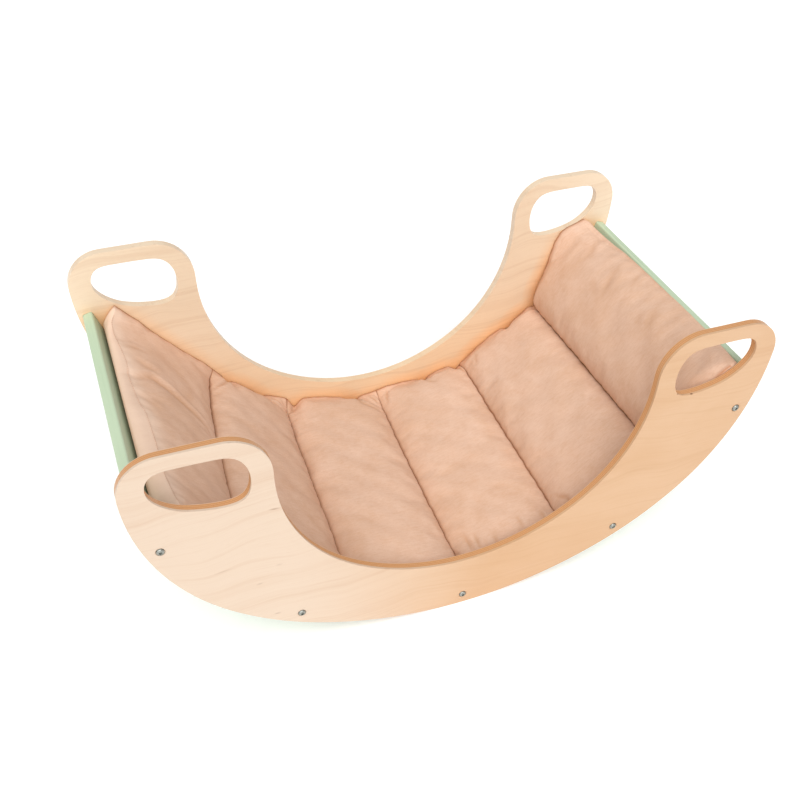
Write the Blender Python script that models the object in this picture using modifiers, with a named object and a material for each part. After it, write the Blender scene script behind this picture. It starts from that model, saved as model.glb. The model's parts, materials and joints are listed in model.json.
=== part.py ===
# Rocker board with a quilted mat: two plywood crescent panels, nine painted slats and a lift-out mat.
# Metres, +Z up. The board rocks about its Y axis. The origin is on the floor, under the middle.

import math

import bmesh
import bpy
import numpy as np
from mathutils import Matrix, Vector

MM = 0.001

# Driving dimensions, in millimetres. A crescent panel is drawn as tangent arcs in its own X-Z plane.
OVERALL_WIDTH = 456.0
PANEL_THICKNESS = 12.0
PANEL_HEIGHT = 408.5
PANEL_EDGE_ROUND = 3.0
PANEL_ROUND_SEGMENTS = 2
ROCKER_RADII = (535.0, 418.0, 319.0)
ROCKER_TURNS = (24.8, 43.1)
OUTER_CORNER_RADIUS = 52.0
INNER_CORNER_RADIUS = 57.0
HANDLE_INNER_X = 258.6
BAND_HEIGHT = 94.0
SEAT_RADII = (275.0, 233.0)
SEAT_TURN = 37.6
OUTLINE_TOLERANCE = 0.1

# A hand-hold is a smooth closed curve through ten points, clockwise from its seat side: x and z.
HAND_HOLD_POINTS = (
    (286.0, 355.1),
    (300.1, 381.6),
    (328.0, 387.6),
    (365.7, 388.0),
    (396.2, 382.1),
    (403.0, 354.0),
    (381.5, 328.2),
    (353.9, 316.2),
    (320.4, 311.2),
    (292.3, 320.4),
)
HAND_HOLD_STEPS = 7

# The slats follow the rocking edge at a fixed inset, seated in shallow housings in both panels.
SLAT_COUNT = 9
SLAT_PITCH = 126.0
SLAT_WIDTH = 112.0
SLAT_THICKNESS = 15.0
SLAT_EDGE_ROUND = 3.0
SLAT_ROUND_SEGMENTS = 3
SLAT_INSET = 18.0
HOUSING_DEPTH = 4.0
GAP = 0.3

# Every second slat is a tie: one bolt through each panel into a barrel nut in the slat.
BOLT_SHANK_RADIUS = 3.0
BOLT_SHANK_LENGTH = 44.0
BOLT_TIP_CHAMFER = (0.7, 0.8)
BOLT_HEAD_RADIUS = 5.25
BOLT_HEAD_HEIGHT = 3.3
BOLT_SIDES = 14
HEX_ACROSS_FLATS = 4.0
HEX_DEPTH = 2.0
BOLT_HOLE_RADIUS = 3.5
BOLT_HOLE_PAST_NUT = 10.0
COUNTERBORE_RADIUS = 6.2
COUNTERBORE_DEPTH = 1.3
COUNTERBORE_SIDES = 20
NUT_RADIUS = 5.0
NUT_LENGTH = 11.4
NUT_HOLE_RADIUS = 5.4
NUT_FROM_SLAT_END = 30.0
NUT_THREAD_RADIUS = 3.35
NUT_SLOT_WIDTH = 1.4
NUT_SLOT_DEPTH = 1.6
BORE_SIDES = 12
BARREL_SIDES = 16

# The round of a bolt's button head, as shares of its radius and height.
BOLT_HEAD_ROUND = ((0.52, 1.0), (0.8, 0.74), (0.96, 0.42), (1.0, 0.12))

# The mat: station along the slats and height above them of its two ends and five seams, first on
# the top and then underneath. The ends are sewn at a slant, so that their two tables differ there.
MAT_TOP = (
    (-553.0, 26.0),
    (-342.0, 50.0),
    (-170.0, 23.0),
    (9.0, 26.0),
    (189.0, 29.0),
    (374.0, 38.0),
    (544.0, 54.0),
)
MAT_UNDER = (
    (-532.0, 3.0),
    (-342.0, 42.0),
    (-170.0, 15.0),
    (9.0, 18.0),
    (189.0, 21.0),
    (374.0, 30.0),
    (543.0, 3.0),
)
MAT_CROWNS = (25.0, 23.0, 24.0, 20.0, 20.0, 24.0)
MAT_MIDDLE_CROWN = 5.0
MAT_WIDTH = 429.0
MAT_SIDE_PULL = 7.0
MAT_REST_GAP = 0.5
MAT_CHANNEL_SHARES = ((0.0, 0.0), (0.2, 0.78), (0.5, 1.0), (0.8, 0.78))
MAT_ROWS = (-1.0, -0.82, -0.3, 0.3, 0.82, 1.0)
MAT_SEAM_CREASE = 0.8
MAT_BORDER_CREASE = 0.45

# Each finish: linear colour, roughness and metallic value.
FINISHES = {
    "birch": ((0.83, 0.63, 0.42), 0.45, 0.0),
    "green_paint": ((0.42, 0.55, 0.38), 0.5, 0.0),
    "mat_fabric": ((0.63, 0.43, 0.32), 0.9, 0.0),
    "zinc": ((0.55, 0.55, 0.54), 0.35, 1.0),
}

# Points closer than this are one, and edges sharper than this many degrees stay sharp in shading.
MERGE_DISTANCE = 0.05
SHARP_ANGLE = 35.0
BEVEL_ANGLE = 60.0

# Worked out from the driving dimensions.
INNER_FACE_Y = OVERALL_WIDTH / 2 - PANEL_THICKNESS
PANEL_MIDDLE_Y = OVERALL_WIDTH / 2 - PANEL_THICKNESS / 2
SLAT_HALF_LENGTH = INNER_FACE_Y + HOUSING_DEPTH - GAP
MAT_BASE_INSET = SLAT_INSET - SLAT_THICKNESS / 2 + SLAT_THICKNESS


def rocker_arcs():
    """Centre, radius and turn range of the rocking edge's arcs, from the bottom to the side."""
    turns = [0.0, *(math.radians(a) for a in ROCKER_TURNS), math.pi / 2]
    centre = Vector((0.0, ROCKER_RADII[0]))
    arcs = []
    for i, radius in enumerate(ROCKER_RADII):
        if i:
            drop = ROCKER_RADII[i - 1] - radius
            centre = centre + drop * Vector((math.sin(turns[i]), -math.cos(turns[i])))
        arcs.append((centre, radius, turns[i], turns[i + 1]))
    return arcs


def turn_point(centre, radius, turn):
    """Point on a circle, with the turn counted from straight down towards +X."""
    return centre + radius * Vector((math.sin(turn), -math.cos(turn)))


def along_rocker(distance, inset):
    """Point, forward direction and inward normal at a distance along the edge moved in by inset."""
    side = -1.0 if distance < 0 else 1.0
    left = abs(distance)
    for centre, radius, start, end in rocker_arcs():
        r = radius - inset
        if left <= r * (end - start) or end == math.pi / 2:
            turn = start + left / r
            break
        left -= r * (end - start)
    point = turn_point(centre, r, turn)
    forward = Vector((math.cos(turn), side * math.sin(turn)))
    inward = Vector((-side * math.sin(turn), math.cos(turn)))
    return Vector((side * point.x, point.y)), forward, inward


def arc_steps(radius, angle):
    """How many straight steps keep an arc's outline within the tolerance of the true curve."""
    step = 2 * math.acos(1 - OUTLINE_TOLERANCE / radius)
    return max(1, math.ceil(abs(angle) / step))


def arc_points(centre, radius, start, end):
    """Points along an arc from one turn to another, both ends included."""
    count = arc_steps(radius, end - start)
    return [turn_point(centre, radius, start + (end - start) * i / count) for i in range(count + 1)]


def half_crescent():
    """Right half of the panel outline, from the bottom of the edge round to the seat's lowest point."""
    points = []
    for centre, radius, start, end in rocker_arcs():
        points += arc_points(centre, radius, start, end)
    side_x = points[-1].x
    corner = Vector((side_x - OUTER_CORNER_RADIUS, PANEL_HEIGHT - OUTER_CORNER_RADIUS))
    points += arc_points(corner, OUTER_CORNER_RADIUS, math.pi / 2, math.pi)
    corner = Vector((HANDLE_INNER_X + INNER_CORNER_RADIUS, PANEL_HEIGHT - INNER_CORNER_RADIUS))
    points += arc_points(corner, INNER_CORNER_RADIUS, math.pi, 3 * math.pi / 2)
    seat_centre = Vector((0.0, BAND_HEIGHT + SEAT_RADII[0]))
    turn = math.radians(SEAT_TURN)
    step = SEAT_RADII[0] - SEAT_RADII[1]
    flank_centre = seat_centre + step * Vector((math.sin(turn), -math.cos(turn)))
    points += arc_points(flank_centre, SEAT_RADII[1], math.pi / 2, turn)
    points += arc_points(seat_centre, SEAT_RADII[0], turn, 0.0)
    return points


def without_repeats(points):
    """Drop points that fall on the one before, also across the closing step."""
    kept = []
    for point in points:
        if not kept or (point - kept[-1]).length > MERGE_DISTANCE:
            kept.append(point)
    if (kept[0] - kept[-1]).length < MERGE_DISTANCE:
        kept.pop()
    return kept


def crescent_outline():
    """The whole panel outline, mirrored about the middle."""
    half = half_crescent()
    mirrored = [Vector((-p.x, p.y)) for p in reversed(half)]
    return without_repeats(half + mirrored)


def hand_hold_outline(side):
    """Closed outline of a hand-hold: a cubic spline that bends evenly through its points."""
    points = np.array(HAND_HOLD_POINTS)
    unit = np.eye(len(points))
    bends = 4 * unit + np.roll(unit, 1, axis=1) + np.roll(unit, -1, axis=1)
    ahead = np.roll(points, -1, axis=0)
    speeds = np.linalg.solve(bends, 3 * (ahead - np.roll(points, 1, axis=0)))
    speeds_ahead = np.roll(speeds, -1, axis=0)
    outline = []
    for start, end, leave, arrive in zip(points, ahead, speeds, speeds_ahead):
        for k in range(HAND_HOLD_STEPS):
            t = k / HAND_HOLD_STEPS
            place = start + t * leave
            place = place + t * t * (3 * (end - start) - 2 * leave - arrive)
            place = place + t**3 * (leave + arrive - 2 * (end - start))
            outline.append(Vector((side * place[0], place[1])))
    return outline


def make_collection(name):
    collection = bpy.data.collections.new(name)
    bpy.context.scene.collection.children.link(collection)
    return collection


def make_material(name):
    colour, roughness, metallic = FINISHES[name]
    material = bpy.data.materials.new(name)
    material.use_nodes = True
    shader = material.node_tree.nodes["Principled BSDF"]
    shader.inputs["Base Color"].default_value = (*colour, 1.0)
    shader.inputs["Roughness"].default_value = roughness
    shader.inputs["Metallic"].default_value = metallic
    material.diffuse_color = (*colour, 1.0)
    return material


def add_object(name, mesh, collection, material=None):
    obj = bpy.data.objects.new(name, mesh)
    collection.objects.link(obj)
    if material:
        mesh.materials.clear()
        mesh.materials.append(material)
    return obj


def flat_solid(name, outlines, thickness, collection):
    """A filled 2D curve pulled to a thickness, turned into a closed mesh lying in its X-Y plane."""
    curve = bpy.data.curves.new(name, "CURVE")
    curve.dimensions = "2D"
    curve.fill_mode = "BOTH"
    curve.extrude = thickness / 2 * MM
    for outline in outlines:
        spline = curve.splines.new("POLY")
        spline.points.add(len(outline) - 1)
        for point, place in zip(spline.points, outline):
            point.co = (place.x * MM, place.y * MM, 0.0, 1.0)
        spline.use_cyclic_u = True
    drawn = bpy.data.objects.new(name + "_drawn", curve)
    collection.objects.link(drawn)
    graph = bpy.context.evaluated_depsgraph_get()
    mesh = bpy.data.meshes.new_from_object(drawn.evaluated_get(graph))
    bpy.data.objects.remove(drawn)
    bpy.data.curves.remove(curve)
    shape = bmesh.new()
    shape.from_mesh(mesh)
    bmesh.ops.remove_doubles(shape, verts=shape.verts, dist=MERGE_DISTANCE / 5 * MM)
    bmesh.ops.recalc_face_normals(shape, faces=shape.faces)
    shape.to_mesh(mesh)
    shape.free()
    mesh.name = name
    return mesh


def upright(mesh, y):
    """Stand a mesh that was drawn in X-Y up in X-Z, and move it along Y."""
    mesh.transform(Matrix.Translation((0.0, y * MM, 0.0)) @ Matrix.Rotation(math.pi / 2, 4, "X"))


def add_bevel(obj, width, segments):
    bevel = obj.modifiers.new("rounded_edges", "BEVEL")
    bevel.width = width * MM
    bevel.segments = segments
    bevel.limit_method = "ANGLE"
    bevel.angle_limit = math.radians(BEVEL_ANGLE)
    bevel.harden_normals = False


def add_cut(obj, cutter):
    cut = obj.modifiers.new("cut_" + cutter.name, "BOOLEAN")
    cut.operation = "DIFFERENCE"
    cut.solver = "EXACT"
    cut.object = cutter


def hide_cutter(cutter):
    cutter.hide_render = True
    cutter.display_type = "WIRE"


def rounded_section(width, height, radius, segments):
    """Rectangle with round corners, centred on its origin."""
    points = []
    for i in range(4):
        corner = math.pi / 2 * i
        x = (width / 2 - radius) * (1 if i in (0, 3) else -1)
        y = (height / 2 - radius) * (1 if i in (0, 1) else -1)
        for k in range(segments + 1):
            angle = corner + math.pi / 2 * k / segments
            points.append(Vector((x + radius * math.cos(angle), y + radius * math.sin(angle))))
    return points


def cylinder_mesh(name, radius, length, sides):
    """Capped cylinder along Z, centred on its origin."""
    mesh = bpy.data.meshes.new(name)
    shape = bmesh.new()
    bmesh.ops.create_cone(
        shape,
        cap_ends=True,
        segments=sides,
        radius1=radius * MM,
        radius2=radius * MM,
        depth=length * MM,
    )
    shape.to_mesh(mesh)
    shape.free()
    return mesh


def box_mesh(name, x, y, z):
    mesh = bpy.data.meshes.new(name)
    shape = bmesh.new()
    bmesh.ops.create_cube(shape, size=1.0)
    bmesh.ops.scale(shape, vec=(x * MM, y * MM, z * MM), verts=shape.verts)
    shape.to_mesh(mesh)
    shape.free()
    return mesh


def joined(name, meshes):
    """One mesh that holds copies of several, each with its own placement."""
    shape = bmesh.new()
    for mesh, place in meshes:
        copy = mesh.copy()
        copy.transform(place)
        shape.from_mesh(copy)
        bpy.data.meshes.remove(copy)
    whole = bpy.data.meshes.new(name)
    shape.to_mesh(whole)
    shape.free()
    return whole


def slat_frame(number):
    """Placement of a slat: local X across its width, local Y along the board's Y, local Z inward."""
    distance = (number - (SLAT_COUNT + 1) / 2) * SLAT_PITCH
    point, forward, inward = along_rocker(distance, SLAT_INSET)
    place = Matrix.Identity(4)
    place.col[0] = (forward.x, 0.0, forward.y, 0.0)
    place.col[1] = (0.0, 1.0, 0.0, 0.0)
    place.col[2] = (inward.x, 0.0, inward.y, 0.0)
    place.col[3] = (point.x * MM, 0.0, point.y * MM, 1.0)
    return place


def is_tie(number):
    return number % 2 == 1


def slat_solid(name, grow, length):
    """A slat's rounded section pulled along Y, larger by grow all round."""
    width = SLAT_WIDTH + 2 * grow
    thickness = SLAT_THICKNESS + 2 * grow
    section = rounded_section(width, thickness, SLAT_EDGE_ROUND + grow, SLAT_ROUND_SEGMENTS)
    mesh = bpy.data.meshes.new(name)
    shape = bmesh.new()
    verts = [shape.verts.new((p.x * MM, -length / 2 * MM, p.y * MM)) for p in section]
    face = shape.faces.new(verts)
    pulled = bmesh.ops.extrude_face_region(shape, geom=[face])
    moved = [v for v in pulled["geom"] if isinstance(v, bmesh.types.BMVert)]
    bmesh.ops.translate(shape, verts=moved, vec=(0.0, length * MM, 0.0))
    bmesh.ops.recalc_face_normals(shape, faces=shape.faces)
    shape.to_mesh(mesh)
    shape.free()
    return mesh


def tie_cutter_meshes():
    """In a tie slat's own frame: the two bolt bores, and the two blind cross holes for barrel nuts."""
    reach = NUT_FROM_SLAT_END + BOLT_HOLE_PAST_NUT
    bore = cylinder_mesh("bolt_bore", BOLT_HOLE_RADIUS, 2 * reach, BORE_SIDES)
    hole_depth = SLAT_THICKNESS / 2 + NUT_LENGTH / 2 + GAP
    nut_hole = cylinder_mesh("nut_hole", NUT_HOLE_RADIUS, 2 * hole_depth, BARREL_SIDES)
    lengthways = Matrix.Rotation(math.pi / 2, 4, "X")
    bores = []
    holes = []
    for side in (-1, 1):
        end = side * SLAT_HALF_LENGTH
        bores.append((bore, Matrix.Translation((0.0, end * MM, 0.0)) @ lengthways))
        y = end - side * NUT_FROM_SLAT_END
        z = NUT_LENGTH / 2 + GAP - hole_depth
        holes.append((nut_hole, Matrix.Translation((0.0, y * MM, z * MM))))
    return joined("slat_bores", bores), joined("slat_nut_holes", holes)


def build_slats(parts, cutters, material):
    """Nine boards; the ties get a bore in each end and a blind cross hole for each barrel nut."""
    tie_cutters = tie_cutter_meshes()
    for number in range(1, SLAT_COUNT + 1):
        mesh = slat_solid(f"slat_{number}", 0.0, 2 * SLAT_HALF_LENGTH)
        slat = add_object(f"slat_{number}", mesh, parts, material)
        slat.matrix_world = slat_frame(number)
        if is_tie(number):
            for cutter_mesh in tie_cutters:
                cutter = add_object(f"{cutter_mesh.name}_{number}", cutter_mesh, cutters)
                cutter.matrix_world = slat.matrix_world
                hide_cutter(cutter)
                add_cut(slat, cutter)


def build_panels(parts, cutters, material):
    """Two mirrored crescents with hand-holds, slat housings on the inside and bolt holes."""
    outlines = [crescent_outline(), hand_hold_outline(-1), hand_hold_outline(1)]
    housing = slat_solid("housing", GAP, 2 * HOUSING_DEPTH)
    through = 3 * PANEL_THICKNESS
    bore = cylinder_mesh("panel_bore", BOLT_HOLE_RADIUS, through, BORE_SIDES)
    counterbore = cylinder_mesh("counterbore", COUNTERBORE_RADIUS, 2 * COUNTERBORE_DEPTH, COUNTERBORE_SIDES)
    turn = Matrix.Rotation(math.pi / 2, 4, "X")
    for name, side in (("side_panel_front", -1), ("side_panel_back", 1)):
        mesh = flat_solid(name, outlines, PANEL_THICKNESS, parts)
        upright(mesh, side * PANEL_MIDDLE_Y)
        panel = add_object(name, mesh, parts, material)
        add_bevel(panel, PANEL_EDGE_ROUND, PANEL_ROUND_SEGMENTS)
        housings = []
        bores = []
        counterbores = []
        inner = Matrix.Translation((0.0, side * INNER_FACE_Y * MM, 0.0))
        middle = Matrix.Translation((0.0, side * PANEL_MIDDLE_Y * MM, 0.0))
        outer = Matrix.Translation((0.0, side * OVERALL_WIDTH / 2 * MM, 0.0))
        for number in range(1, SLAT_COUNT + 1):
            place = slat_frame(number)
            housings.append((housing, inner @ place))
            if is_tie(number):
                bores.append((bore, middle @ place @ turn))
                counterbores.append((counterbore, outer @ place @ turn))
        for kind, meshes in (("housings", housings), ("bores", bores), ("counterbores", counterbores)):
            cutter = add_object(f"{name}_{kind}", joined(f"{name}_{kind}", meshes), cutters)
            hide_cutter(cutter)
            add_cut(panel, cutter)


def bolt_profile():
    """Radius and height of the bolt's section, head up, from the top of the head down to the tip."""
    chamfer_in, chamfer_up = BOLT_TIP_CHAMFER
    return (
        (0.0, BOLT_HEAD_HEIGHT),
        *((r * BOLT_HEAD_RADIUS, z * BOLT_HEAD_HEIGHT) for r, z in BOLT_HEAD_ROUND),
        (BOLT_HEAD_RADIUS, 0.0),
        (BOLT_SHANK_RADIUS, 0.0),
        (BOLT_SHANK_RADIUS, chamfer_up - BOLT_SHANK_LENGTH),
        (BOLT_SHANK_RADIUS - chamfer_in, -BOLT_SHANK_LENGTH),
        (0.0, -BOLT_SHANK_LENGTH),
    )


def build_bolts(parts, cutters, material):
    """Hex socket bolts, a turned profile each, with the head seated in the panel's counterbore."""
    profile = bpy.data.meshes.new("bolt")
    shape = bmesh.new()
    verts = [shape.verts.new((r * MM, 0.0, z * MM)) for r, z in bolt_profile()]
    for a, b in zip(verts, verts[1:]):
        shape.edges.new((a, b))
    shape.to_mesh(profile)
    shape.free()
    socket = cylinder_mesh("hex_socket", HEX_ACROSS_FLATS / math.sqrt(3), 2 * HEX_DEPTH, 6)
    seat = OVERALL_WIDTH / 2 - COUNTERBORE_DEPTH + GAP
    for word, side in (("front", -1), ("back", 1)):
        facing = Matrix.Rotation(-side * math.pi / 2, 4, "X")
        for count, number in enumerate(range(1, SLAT_COUNT + 1, 2), start=1):
            bolt = add_object(f"bolt_{word}_{count}", profile.copy(), parts, material)
            at = slat_frame(number).to_translation()
            place = Matrix.Translation((at.x, side * seat * MM, at.z)) @ facing
            bolt.matrix_world = place
            screw = bolt.modifiers.new("turned", "SCREW")
            screw.steps = BOLT_SIDES
            screw.render_steps = BOLT_SIDES
            screw.use_merge_vertices = True
            screw.merge_threshold = MERGE_DISTANCE * MM
            screw.use_smooth_shade = True
            cutter = add_object(f"socket_{word}_{count}", socket, cutters)
            cutter.matrix_world = place @ Matrix.Translation((0.0, 0.0, BOLT_HEAD_HEIGHT * MM))
            hide_cutter(cutter)
            add_cut(bolt, cutter)


def build_barrel_nuts(parts, cutters, material):
    """Cross-drilled steel barrels inside the tie slats, one for each bolt, with a turning slot."""
    across = 4 * NUT_RADIUS
    barrel = cylinder_mesh("barrel_nut", NUT_RADIUS, NUT_LENGTH, BARREL_SIDES)
    thread = cylinder_mesh("nut_thread", NUT_THREAD_RADIUS, across, BORE_SIDES)
    slot = box_mesh("nut_slot", across, NUT_SLOT_WIDTH, 2 * NUT_SLOT_DEPTH)
    turn = Matrix.Rotation(math.pi / 2, 4, "X")
    lower = Matrix.Translation((0.0, 0.0, -NUT_LENGTH / 2 * MM))
    for word, side in (("front", -1), ("back", 1)):
        for count, number in enumerate(range(1, SLAT_COUNT + 1, 2), start=1):
            nut = add_object(f"barrel_nut_{word}_{count}", barrel.copy(), parts, material)
            y = side * (SLAT_HALF_LENGTH - NUT_FROM_SLAT_END)
            place = slat_frame(number) @ Matrix.Translation((0.0, y * MM, 0.0))
            nut.matrix_world = place
            for kind, mesh, offset in (("thread", thread, turn), ("slot", slot, lower)):
                cutter = add_object(f"{kind}_{word}_{count}", mesh, cutters)
                cutter.matrix_world = place @ offset
                hide_cutter(cutter)
                add_cut(nut, cutter)


def mat_columns():
    """Top and under station and height of the mat's cage from end to end, and whether it is a seam."""
    columns = []
    for i, crown in enumerate(MAT_CROWNS):
        for share, swell in MAT_CHANNEL_SHARES:
            top = Vector(MAT_TOP[i]).lerp(Vector(MAT_TOP[i + 1]), share)
            under = Vector(MAT_UNDER[i]).lerp(Vector(MAT_UNDER[i + 1]), share)
            top.y += crown * swell
            under.y = MAT_REST_GAP + (under.y - MAT_REST_GAP) * (1.0 - swell)
            columns.append((top, under, share == 0.0, swell))
    columns.append((Vector(MAT_TOP[-1]), Vector(MAT_UNDER[-1]), True, 0.0))
    return columns


def mat_vertex(column, across, level, drawn_in):
    """Cage point: across is -1 to 1 over the width, level 0 is the top and level 1 underneath."""
    station, height = column[level]
    swell = column[3]
    if level == 0:
        height += MAT_MIDDLE_CROWN * swell * (1.0 - across ** 2)
    point, _, inward = along_rocker(station, MAT_BASE_INSET)
    point = point + inward * height
    y = across * (MAT_WIDTH / 2 - drawn_in * across ** 2)
    return (point.x * MM, y * MM, point.y * MM)


def build_mat(parts, material):
    """Quilted mat: a coarse cage of six padded channels, smoothed, with its sewn seams kept sharp."""
    columns = mat_columns()
    shape = bmesh.new()
    layers = []
    last_column = len(columns) - 1
    last_row = len(MAT_ROWS) - 1
    for level in (0, 1):
        layer = []
        for i, column in enumerate(columns):
            drawn_in = MAT_SIDE_PULL if column[2] and 0 < i < last_column else 0.0
            layer.append([shape.verts.new(mat_vertex(column, v, level, drawn_in)) for v in MAT_ROWS])
        layers.append(layer)
    top, under = layers
    crease = shape.edges.layers.float.new("crease_edge")
    for i in range(last_column):
        for j in range(last_row):
            shape.faces.new((top[i][j], top[i + 1][j], top[i + 1][j + 1], top[i][j + 1]))
            shape.faces.new((under[i][j], under[i][j + 1], under[i + 1][j + 1], under[i + 1][j]))
        for j in (0, last_row):
            shape.faces.new((top[i][j], under[i][j], under[i + 1][j], top[i + 1][j]))
    for i in (0, last_column):
        for j in range(last_row):
            shape.faces.new((top[i][j], top[i][j + 1], under[i][j + 1], under[i][j]))
    bmesh.ops.recalc_face_normals(shape, faces=shape.faces)
    for layer in (top, under):
        for i, column in enumerate(columns):
            for j in range(last_row):
                if column[2]:
                    shape.edges.get((layer[i][j], layer[i][j + 1]))[crease] = MAT_SEAM_CREASE
        for i in range(last_column):
            for j in (0, last_row):
                shape.edges.get((layer[i][j], layer[i + 1][j]))[crease] = MAT_BORDER_CREASE
    mesh = bpy.data.meshes.new("quilted_mat")
    shape.to_mesh(mesh)
    shape.free()
    mat = add_object("quilted_mat", mesh, parts, material)
    smooth = mat.modifiers.new("padding", "SUBSURF")
    smooth.levels = 1
    smooth.render_levels = 1


def shade_round_pieces(parts):
    for obj in parts.objects:
        obj.data.shade_smooth()
        obj.data.set_sharp_from_angle(angle=math.radians(SHARP_ANGLE))


def main():
    for obj in list(bpy.data.objects):
        bpy.data.objects.remove(obj)
    parts = make_collection("rocker_board")
    cutters = make_collection("rocker_board_cutters")
    finishes = {name: make_material(name) for name in FINISHES}
    build_panels(parts, cutters, finishes["birch"])
    build_slats(parts, cutters, finishes["green_paint"])
    build_bolts(parts, cutters, finishes["zinc"])
    build_barrel_nuts(parts, cutters, finishes["zinc"])
    build_mat(parts, finishes["mat_fabric"])
    shade_round_pieces(parts)


main()
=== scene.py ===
# Looks of the rocker board: birch plywood panels, painted slats, zinc bolts and a quilted suede mat.
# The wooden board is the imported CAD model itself. Only the mat is replaced, by a simulated one.

import json
import math

import bmesh
import bpy
import numpy as np
from mathutils import Matrix, Vector

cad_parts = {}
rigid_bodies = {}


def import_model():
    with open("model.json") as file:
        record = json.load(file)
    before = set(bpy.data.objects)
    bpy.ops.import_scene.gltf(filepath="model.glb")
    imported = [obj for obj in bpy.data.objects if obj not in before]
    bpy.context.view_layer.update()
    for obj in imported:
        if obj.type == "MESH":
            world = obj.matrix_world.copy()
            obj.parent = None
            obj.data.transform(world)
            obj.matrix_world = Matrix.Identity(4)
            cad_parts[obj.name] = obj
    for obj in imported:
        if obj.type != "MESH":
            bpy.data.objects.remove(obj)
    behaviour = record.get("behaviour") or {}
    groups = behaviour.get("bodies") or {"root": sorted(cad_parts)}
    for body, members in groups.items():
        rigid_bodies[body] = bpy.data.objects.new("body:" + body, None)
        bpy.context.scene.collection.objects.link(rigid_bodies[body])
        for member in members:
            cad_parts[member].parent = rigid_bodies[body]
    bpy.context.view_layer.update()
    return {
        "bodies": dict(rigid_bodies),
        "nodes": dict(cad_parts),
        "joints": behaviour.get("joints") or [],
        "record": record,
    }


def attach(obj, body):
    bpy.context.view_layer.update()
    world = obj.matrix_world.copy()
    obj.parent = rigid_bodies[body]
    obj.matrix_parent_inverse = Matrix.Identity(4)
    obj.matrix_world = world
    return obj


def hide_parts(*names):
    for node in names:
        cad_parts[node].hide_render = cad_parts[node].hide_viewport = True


MM = 0.001
TINY = 1e-9

# The photograph's camera: place in metres, directions of the image's right and forward axes, and the
# focal length and optical centre in pixels of the photograph.
CAMERA_PLACE = (-0.4034, -1.0199, 1.1041)
CAMERA_RIGHT = (0.9328, -0.35943, 0.0264)
CAMERA_FORWARD = (0.27078, 0.65061, -0.7095)
FOCAL_LENGTH_PX = 941.3
OPTICAL_CENTRE_PX = (420.0, 500.0)
IMAGE_PX = 800.0
SENSOR_MM = 36.0
CAMERA_CLIP = (0.05, 100.0)

# The panels and slats as part.py has them, in millimetres.
ROCKER_RADII = (535.0, 418.0, 319.0)
ROCKER_TURNS = (24.8, 43.1)
PANEL_OUTER_Y = 228.0
PANEL_INNER_Y = 216.0
SLAT_FACE_INSET = 25.5

# A panel's plies: their thickness in millimetres, how many of them the tone of the face veneer covers at
# the outer and the inner edge and, more, at the back panel's inner edge, where that pale tone over the
# edge is painted light, how sharply that tone ends, and the share of a ply that a glue line takes.
PLY_THICKNESS = 1.33
OUTER_WRAP = 2.4
INNER_WRAP = 0.1
BACK_WRAP_PAINTED_LIGHT = 6.0
VENEER_FADE = 2.0
GLUE_SHARE = 0.12

# The mat's seven cross lines, from the left end to the right one. Each row is a place towards the back
# panel, a station along the slats and a height over them. The first line is the stitched corner of the
# boxed left end, the last is the rounded right end, and the five between them are the quilting seams.
CROSS_LINES = (
    (
        (215, -553, 26), (205, -542, 18), (172, -533, 14), (145, -529, 17), (108, -525, 20),
        (75, -522, 17), (26, -520, 20), (-8, -520, 26), (-67, -521, 28), (-144, -528, 29),
        (-194, -535, 35), (-215, -540, 38),
    ),
    (
        (215, -321, 54), (160, -334, 52), (100, -345, 50), (41, -355, 50), (-16, -361, 50), (-99, -371, 48),
        (-215, -376, 46),
    ),
    ((215, -156, 23), (145, -163, 23), (38, -167, 23), (-77, -171, 23), (-215, -177, 23)),
    ((215, 20, 25), (144, 16, 26), (57, 12, 26), (-42, 9, 26), (-184, 5, 25), (-215, 4, 25)),
    ((215, 187, 26), (182, 191, 29), (72, 188, 29), (-71, 185, 29), (-215, 182, 27)),
    ((215, 369, 33), (115, 371, 38), (-65, 373, 38), (-215, 376, 38)),
    (
        (215, 561, 20), (206, 549, 19), (190, 544, 15), (165, 543, 11), (150, 544, 9), (110, 549, 6),
        (60, 552, 5), (0, 552, 5), (-50, 555, 6), (-100, 558, 10), (-150, 561, 15), (-190, 562, 20),
        (-215, 559, 26),
    ),
)  # fmt: skip
LINE_EASE = 8.0

# The mat's underside: its height over the slats at every cross line, how it comes down to them in between,
# and the stations of its left and right end at places across.
UNDER_HEIGHTS = (3.0, 40.0, 15.0, 18.0, 20.0, 30.0, 3.0)
UNDER_RISE = (2.4, 0.6)
UNDER_LIFT_POWER = 1.5
UNDER_ENDS = ((215, -530, 543), (0, -530, 549), (-100, -528, 551), (-215, -511, 553))

# For each channel: the crown of its stuffing over a straight chord between its lines, and how it rises
# from its left and from its right line, as the two powers of a curve. The last value is how far the
# cloth simulation may move it.
SEAM_RISE = (4.5, 0.5)
CORNER_RISE = (2.0, 1.0)
ROUND_RISE = (3.0, 0.55)
CHANNELS = (
    (11.0, CORNER_RISE, SEAM_RISE, 1.4),
    (15.0, SEAM_RISE, SEAM_RISE, 4.0),
    (16.0, SEAM_RISE, SEAM_RISE, 5.0),
    (14.0, SEAM_RISE, SEAM_RISE, 5.0),
    (13.0, SEAM_RISE, SEAM_RISE, 5.0),
    (26.0, SEAM_RISE, ROUND_RISE, 5.0),
)

# The mat's half width, its gap over the slats, how far in from its borders its top starts to roll over, how
# far its sides and its left and right end bulge out, and how much narrower its underside is at each side.
MAT_HALF_WIDTH = 214.6
MAT_REST_GAP = 0.5
EDGE_ROLL = 24.0
SIDE_BULGE = 5.0
END_BULGE = (3.0, 4.0)
UNDER_DRAWN_IN = 8.0

# The mat's mesh: the step of its grid, how far the columns crowd towards the seams and the rows towards the
# borders, and the rows down its sides.
GRID_STEP = 4.2
COLUMN_EASE = 0.78
ROW_EASE = 0.4
SIDE_ROWS = 5

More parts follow.
